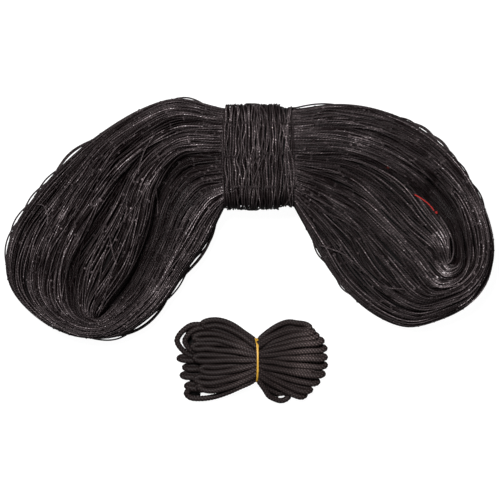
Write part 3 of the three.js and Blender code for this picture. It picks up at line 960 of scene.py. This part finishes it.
for turn in turns[-KNOTTED_TURNS - len(WRAP_CROSSINGS):]:
    for y in KNOT_ROWS_Y:
        away = np.abs(turn[:, 1] - y - rng.normal(0, KNOT_SCATTER))
        k = int(np.argmin(np.where(turn[:, 2] > UPPER_SIDE, away, 1)))
        if rng.uniform() < KNOT_CHANCE:
            after = turn[(k + 1) % WRAP_SAMPLES]
            knots.append((turn[k] + KNOT_SET, after - turn[k - 1], (0, 0, 1), END_TONE))
show(knot_mesh("waist_knots", knots, rng), net_twine)


def draw_out(shape, edges):
    """Extrudes a loop of edges. Gives its new corners, to be moved, and its new edges."""
    grown = bmesh.ops.extrude_edge_only(shape, edges=edges)["geom"]
    corners = [part for part in grown if isinstance(part, bmesh.types.BMVert)]
    return corners, [part for part in grown if isinstance(part, bmesh.types.BMEdge) and part.is_boundary]


CORE_RINGS = 8
CORE_OFF = 0.0006
core_shape = bmesh.new()
bmesh.ops.create_circle(core_shape, segments=WRAP_SAMPLES, radius=1)
for vertex, point in zip(core_shape.verts, wrap_turn(WRAP_LEFT, CORE_OFF)):
    vertex.co = point
edges = core_shape.edges[:]
for _ in range(CORE_RINGS):
    corners, edges = draw_out(core_shape, edges)
    bmesh.ops.translate(core_shape, verts=corners, vec=((WRAP_RIGHT - WRAP_LEFT) / CORE_RINGS, 0, 0))
show(finish_mesh("waist_core", core_shape), shaded_packed_twine)

# Marker thread: a short red yarn that is worked into the net, with a knot in its end, and the same
# yarn showing once more where it passes between the twines.
THREAD = 0.0009
THREAD_SAMPLES = 40
THREAD_LIFT = 0.0012
THREAD_ENDS = 8
THREAD_TONE = 7
# The yarn's points seen from above, in millimetres, then its knot and the place where it shows again.
THREAD_POINTS = [(144, 48.3), (148, 46.1), (151.5, 43.8), (155.3, 41), (158.8, 37.4), (160.9, 34.5)]
# Where the yarn shows again between the twines it is painted dark: painted shade.
THREAD_LUMPS = table("x y | tone", (163.2, 32.8, 5), (120.3, 71.3, 0.1))
right = lobes["right"]
flat = curve_through(np.array(THREAD_POINTS) / PER_METRE, np.linspace(0, 1, THREAD_SAMPLES))
start = np.linspace(0, THREAD_ENDS, THREAD_SAMPLES)
ends = np.minimum(1, np.minimum(start, start[::-1]))
thread_path = np.array([(x, y, right.top_at(x, y) + THREAD_LIFT * e) for (x, y), e in zip(flat, ends)])
even_out(thread_path[:, 2], 4)
thread_mesh = tube_mesh("marker_yarn", thread_path[None], THREAD / 2, 8, np.full(1, THREAD_TONE))
RED = (0.46, 0.036, 0.032)
red_yarn = twine_material("red marker yarn", (0.045, 0.009, 0.008), RED, RED, 0.6)
thread = show(thread_mesh, red_yarn)
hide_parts("marker_thread")
LUMP_LIFT = 0.0006
LUMP_ALONG = (1, -0.8, 0)
lumps = []
for lump in THREAD_LUMPS:
    x, y = lump["x"], lump["y"]
    lumps.append(((x, y, right.top_at(x, y) + LUMP_LIFT), LUMP_ALONG, (0, 0, 1), lump["tone"]))
show(knot_mesh("marker_knots", lumps, rng), red_yarn)

# Cord hank: the fixing cord, black braided polyester, folded to and fro in one length and held in
# the middle. On the right its folds stand on edge in a fan. On the left they lie flat in two
# levels, the lower ones longer, with slack loops at the top and at the bottom.
CORD = 0.0051
WAIST_X = 0.0066
HANK_Y = -0.097
RIGHT_FOLDS = table(
    "x y spread low high bow |",
    (53.5, -68.5, 5.2, 6.5, 8.5, 6.5),
    (51, -69.8, 3.4, 3, 8, 4.5),
    (56.3, -72.2, 3.4, 4.5, 10.5, 0),
    (59.8, -76, 3.4, 2.7, 8.3, 0),
    (64.3, -80.3, 3.4, 4.5, 10.5, 0),
    (66.8, -87.1, 3.4, 2.7, 8.3, 0),
    (67, -94.8, 3.4, 4.5, 10.5, 0),
    (67.2, -102, 3.4, 2.7, 8.3, 0),
    (56, -105.8, 3.4, 2.7, 7, 0),
    (65.2, -109.6, 3.4, 4.5, 10.5, 0),
    (60.4, -116.7, 3.4, 2.7, 8.3, 0),
    (54, -123.6, 3.4, 4.5, 10.5, 0),
    (49.2, -128.4, 3.4, 2.7, 8.3, 0),
    (42, -125.5, 2, 2.7, 7.5, 0),
    (34.5, -129.8, 5.8, 3.2, 4.8, -4.6),
)
LEFT_FOLDS = table(
    "x y spread low high | level",
    (-41.8, -65.1, 4.8, 14, 12.5, 1),
    (-64.2, -80.2, 25.8, 8.5, 4, 0),
    (-57.2, -80.6, 20.4, 11, 7, 0),
    (-49, -77, 4.7, 14, 14, 1),
    (-50.5, -85.2, 4.7, 13.5, 13, 1),
    (-62.5, -95.9, 3, 2.8, 7.2, 0),
    (-48.8, -95.2, 4.7, 13.8, 13.8, 1),
    (-57.6, -104, 3, 2.8, 7.2, 0),
    (-43.6, -105.2, 4.7, 13.6, 13.6, 1),
    (-59.8, -111, 3, 2.8, 7.2, 0),
    (-48, -114.2, 4.7, 12.2, 12.2, 1),
    (-55.9, -120.5, 3.4, 2.8, 7.2, 0),
    (-45.3, -120.8, 4.5, 11.5, 11.5, 1),
    (-56, -127, 7.4, 6, 3.6, 0),
)
SLOTS = len(RIGHT_FOLDS)
WAIST_HALF = 0.0165
WAIST_LOW = 0.0072
WAIST_ROW, ROW_SQUEEZE = 0.0043, 0.1
TIP_INSET = 0.0034
TIP_SHARE = 0.42
PASS_PARTS = (0.1, 0.26, 0.45, 0.64, 0.82)
FALL_PARTS, FALLS = (0, 0.25, 0.7, 1), (0, 0.3, 0.85, 1)
LEFT_BULGE, RIGHT_BULGE = 0.9, 0.3
LESSER_BOW = 0.55
UNEVEN = 0.00025
rng = np.random.default_rng(47)


def waist_slot(number, upper):
    """Where a pass goes through the waist, in four rows. Passes to upper folds lie higher."""
    y = WAIST_HALF * (1 - 2 * number / (SLOTS - 1))
    fold = LEFT_FOLDS[min(max(number - upper, 0), len(LEFT_FOLDS) - 1)]
    row = 2 * upper + fold["level"]
    squeeze = 1 - ROW_SQUEEZE * abs(row - 1.5)
    return np.array((WAIST_X, HANK_Y + y * squeeze, WAIST_LOW + WAIST_ROW * row))


def pass_points(slot, fold, upper):
    """Points of one pass from the waist to the start of its fold, waist first."""
    sign = math.copysign(1, fold["x"] - WAIST_X)
    shift = fold["spread"] / 2 * (-1 if upper else 1)
    inset = max(TIP_INSET, TIP_SHARE * fold["spread"])
    tip = np.array((fold["x"] - sign * inset, fold["y"] + shift, fold["high"] if upper else fold["low"]))
    bulge = LEFT_BULGE if sign < 0 else RIGHT_BULGE
    bow = fold.get("bow", 0)
    bow = bow if (bow < 0) == upper else LESSER_BOW * bow
    points = []
    for part in PASS_PARTS:
        fan = (1 + bulge) * part - bulge * part**3
        fall = np.interp(part, FALL_PARTS, FALLS)
        point = slot + (tip - slot) * (part, fan, fall) + (0, bow * math.sin(math.pi * part), 0)
        points.append(point + rng.normal(0, UNEVEN, 3))
    return points + [tip]


def fold_point(fold):
    return np.array((fold["x"], fold["y"], (fold["low"] + fold["high"]) / 2))


route = []
for number, fold in enumerate(RIGHT_FOLDS):
    high, low = waist_slot(number, True), waist_slot(number, False)
    if number:
        route += pass_points(high, LEFT_FOLDS[number - 1], True)[::-1]
    route += [high, *pass_points(high, fold, True), fold_point(fold)]
    route += [*pass_points(low, fold, False)[::-1], low]
    if number < len(LEFT_FOLDS):
        route += [*pass_points(low, LEFT_FOLDS[number], False), fold_point(LEFT_FOLDS[number])]
FINE_POINTS = 12000
CARRIERS = 4
CORD_SIDES = 4 * CARRIERS
BRAID_STEP = 0.0028
RING_STEP = BRAID_STEP / 4
BRAID_START = 0.001
LUMP_END = 0.35
GROOVED, RAISED = 0.87, 0.16
fine = curve_through(np.array(route), np.linspace(0, 1, FINE_POINTS))
even_out(fine, 3)
run = run_along(fine)
at = np.arange(0, run[-1], RING_STEP)
cord_path = points_along(fine, run, at)
cord_path[:, 2] = np.maximum(cord_path[:, 2], CORD / 2)
around = CARRIERS * np.arange(CORD_SIDES)[None, :] / CORD_SIDES
one = around + at[:, None] / BRAID_STEP + BRAID_START
other = around - at[:, None] / BRAID_STEP + BRAID_START
first, second = one % 1, other % 1
first_over = (np.floor(one) + np.floor(other)) % 2 == 0
across = np.where(first_over, first, second)
along = np.where(first_over, second, first)
humped = LUMP_END + (1 - LUMP_END) * np.sin(math.pi * along)
lump = np.sqrt(np.maximum(0, 1 - (2 * across - 1) ** 2)) * humped
cord_radius = CORD / 2 * (GROOVED + RAISED * lump)
# Painted highlights (tone over 1) and painted shade (tone under 1) on the cord, at places seen from above.
CORD_LIGHT_AND_SHADE = table(
    "x y reach | tone",
    (50, -91, 16, 2.9),
    (45, -107, 14, 2.4),
    (55, -76, 10, 2.4),
    (-7, -87, 9, 2.2),
    (-1, -101, 10, 2),
    (-8, -116, 10, 2),
    (-50, -100, 16, 0.6),
    (-30, -70, 14, 0.7),
)
CORD_TONE, LUMP_POWER = 0.29, 5
# Painted highlights on the braid's lumps, painted shade in its grooves.
cord_tone = CORD_TONE * lump**LUMP_POWER
shade(cord_tone, cord_path[:, None], CORD_LIGHT_AND_SHADE)
# Braided polyester: lumps of black filament with dark grooves between them. The lumps' brightness is
# painted highlight and the grooves' darkness painted shade, over the braid's relief.
braided, tree, shader = new_material("braided cord", 0.6, 0.1)
grain = noise_value(tree, 900)
lit = math_node(tree, "MULTIPLY", tone_value(tree), math_node(tree, "ADD", grain, 0.3))
colour_by(tree, shader, lit, (0.0024, 0.001, 0.001), (0.204, 0.153, 0.148))
raise_by(tree, shader, grain, 0.5, 0.0003)
cord_mesh = tube_mesh("cord_turns", cord_path[None], cord_radius[None], CORD_SIDES, cord_tone[None])
cord = show(cord_mesh, braided)
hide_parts("cord_hank")
CORE_FOOT = 0.0004
CORE_TOP = 0.004
CORE_STEPS = ((CORE_TOP * 0.25, 1), (CORE_TOP, 0.88))
# Outlines of the hank's two halves seen from above, in millimetres.
CORE_OUTLINES = {
    "left": [(0, -84), (-24, -64), (-38, -62.5), (-56.5, -70.5), (-57.2, -78.5),
             (-54.5, -88), (-55, -98), (-52, -108), (-53.5, -117.5), (-53.5, -129.2),
             (-43.7, -129.5), (-42.5, -121), (-22, -117), (0, -109)],
    "right": [(12, -84), (30, -75), (47, -72.5), (56, -78), (60, -88),
              (60, -100), (58, -110), (52, -119), (45, -123), (34, -119),
              (26.2, -122.5), (25.5, -130.8), (17.5, -128), (12, -109)],
}


def cord_core_mesh(name, outline):
    """The turns deep in the hank: a low mound drawn up from its outline and closed on top."""
    mound = bmesh.new()
    bmesh.ops.create_circle(mound, segments=len(outline), radius=1)
    for vertex, (x, y) in zip(mound.verts, outline):
        vertex.co = (x / PER_METRE, y / PER_METRE, CORE_FOOT)
    edges = mound.edges[:]
    for height, inset in CORE_STEPS:
        corners, edges = draw_out(mound, edges)
        middle = sum((v.co for v in corners), Vector()) / len(corners)
        for vertex in corners:
            flat = middle + (vertex.co - middle) * inset
            vertex.co = (flat.x, flat.y, height)
    bmesh.ops.holes_fill(mound, edges=[e for e in mound.edges if e.is_boundary], sides=0)
    return finish_mesh(name, mound)


for side, outline in CORE_OUTLINES.items():
    show(cord_core_mesh(f"cord_{side}_core", outline), shaded_packed_twine)

# Elastic band: a narrow flat band of yellow elastic, stretched twice round the cord hank's waist.
# The two turns lie on each other, and part at the top where the second one starts.
BAND_WIDE = 0.0012
BAND_THICK = 0.0008
BAND_HALF_Y, BAND_HALF_Z = 0.0193, 0.0116
BAND_MIDDLE_Z = 0.0139
BAND_SEGMENTS = 72
BAND_BOW = 0.0011
BAND_ROUND, SHARP = 0.0002, 1
BAND_TURNS = table("out shift part |", (0, 0.3, 0.4), (0.3, -0.1, -0.9))


def band_turn_mesh(name, turn):
    """One turn: an oval hoop drawn out to the band's width, given its thickness and rounded."""
    hoop = bmesh.new()
    bmesh.ops.create_circle(hoop, segments=BAND_SEGMENTS, radius=1)
    for vertex in hoop.verts:
        c, s = vertex.co.x, vertex.co.y
        bow = BAND_BOW * (max(s, 0) - 0.5) + turn["shift"] + turn["part"] * max(0, c) ** 3
        y = HANK_Y + (BAND_HALF_Y + turn["out"]) * c
        vertex.co = (WAIST_X + bow - BAND_WIDE / 2, y, BAND_MIDDLE_Z + (BAND_HALF_Z + turn["out"]) * s)
    corners, _ = draw_out(hoop, hoop.edges[:])
    bmesh.ops.translate(hoop, verts=corners, vec=(BAND_WIDE, 0, 0))
    bmesh.ops.recalc_face_normals(hoop, faces=hoop.faces)
    bmesh.ops.solidify(hoop, geom=hoop.faces[:], thickness=BAND_THICK)
    rims = [edge for edge in hoop.edges if edge.calc_face_angle(0) > SHARP]
    bmesh.ops.bevel(hoop, geom=rims, offset=BAND_ROUND, affect="EDGES", segments=2, profile=0.5, material=-1)
    return finish_mesh(name, hoop)


elastic, tree, shader = new_material("yellow elastic", 0.5)
colour_by(tree, shader, noise_value(tree, 300), (0.36, 0.19, 0.015), (0.52, 0.29, 0.03))
for number, turn in enumerate(BAND_TURNS):
    elastic_turn = show(band_turn_mesh(f"elastic_turn_{number + 1}", turn), elastic)
    if number == 0:
        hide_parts("elastic_band")

# Floor, studio light and camera: a plain floor that glows white under the part, two softboxes and a
# weak even light all round, seen from straight above through a long lens.
floor_shape = bmesh.new()
bmesh.ops.create_grid(floor_shape, x_segments=1, y_segments=1, size=4)
floor = bpy.data.objects.new("floor", finish_mesh("floor", floor_shape))
bpy.context.scene.collection.objects.link(floor)
floor_paint, _, shader = new_material("pale floor", 0.9)
shader.inputs["Base Color"].default_value = (0.12, 0.12, 0.12, 1)
shader.inputs["Emission Color"].default_value = (1, 1, 1, 1)
shader.inputs["Emission Strength"].default_value = 0.95
floor.data.materials.append(floor_paint)
floor.visible_diffuse = False
floor.visible_glossy = False

world = bpy.data.worlds.new("studio")
world.use_nodes = True
sky = world.node_tree.nodes["Background"].inputs
sky["Color"].default_value = (1, 1, 1, 1)
sky["Strength"].default_value = 0.1
bpy.context.scene.world = world


def softbox(name, place, aim, size, power):
    lamp = bpy.data.lights.new(name, "AREA")
    lamp.size = size
    lamp.energy = power
    box = bpy.data.objects.new(name, lamp)
    box.location = place
    box.rotation_euler = (Vector(aim) - Vector(place)).to_track_quat("-Z", "Y").to_euler()
    bpy.context.scene.collection.objects.link(box)


softbox("key softbox", (-0.35, 0.55, 1.55), (0, 0, 0), 0.4, 52)
softbox("fill softbox", (0.7, -0.7, 1.3), (0, 0, 0), 0.9, 6)

LENS = 0.15
SENSOR = 0.036
VIEW_WIDE = 0.44
RIM_LEVEL = 0.018
CAMERA_X = 0.0004
lens = bpy.data.cameras.new("camera")
lens.lens = LENS * PER_METRE
lens.sensor_width = SENSOR * PER_METRE
camera = bpy.data.objects.new("camera", lens)
camera.location = (CAMERA_X, 0, RIM_LEVEL + VIEW_WIDE * LENS / SENSOR)
bpy.context.scene.collection.objects.link(camera)
bpy.context.scene.camera = camera
bpy.context.scene.view_settings.view_transform = "Standard"
